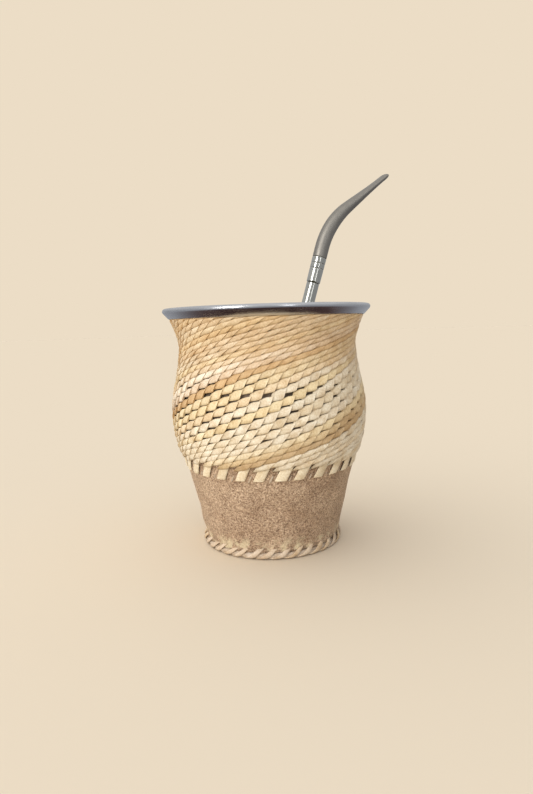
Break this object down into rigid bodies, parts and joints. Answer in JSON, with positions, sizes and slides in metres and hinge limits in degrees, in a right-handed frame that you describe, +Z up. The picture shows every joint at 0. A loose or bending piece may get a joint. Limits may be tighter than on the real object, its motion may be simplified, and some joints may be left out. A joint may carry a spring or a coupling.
{
  "type": "mate gourd drink",
  "caption": "Calabash cup with a steel rim, woven rawhide sleeve and laced hide base, filled with yerba leaf and infusion and drunk through a bent steel straw.",
  "frame": {"origin": "middle of the flat underside, on the surface the cup stands on", "axes": "+Z up through the cup, -Y towards the shown front, +X to the shown right, where the straw leans"},
  "size_m": [0.1056, 0.0894, 0.1651],
  "materials": {
    "calabash": "dry dark gourd shell",
    "hide": "short-haired tan hide",
    "rawhide": "dry cream rawhide lace",
    "polished_steel": "polished",
    "satin_steel": "satin",
    "leaf": "damp crumbled leaf",
    "infusion": "wet, slightly frothy"
  },
  "bodies": {
    "root": {"gourd_body": "calabash", "hide_base": "hide", "base_lacing": "rawhide", "woven_sleeve": "rawhide", "steel_rim": "polished_steel", "straw_shaft": "polished_steel", "straw_mouthpiece": "satin_steel", "leaf_bed": "leaf", "mate_drink": "infusion"}
  },
  "joints": []
}
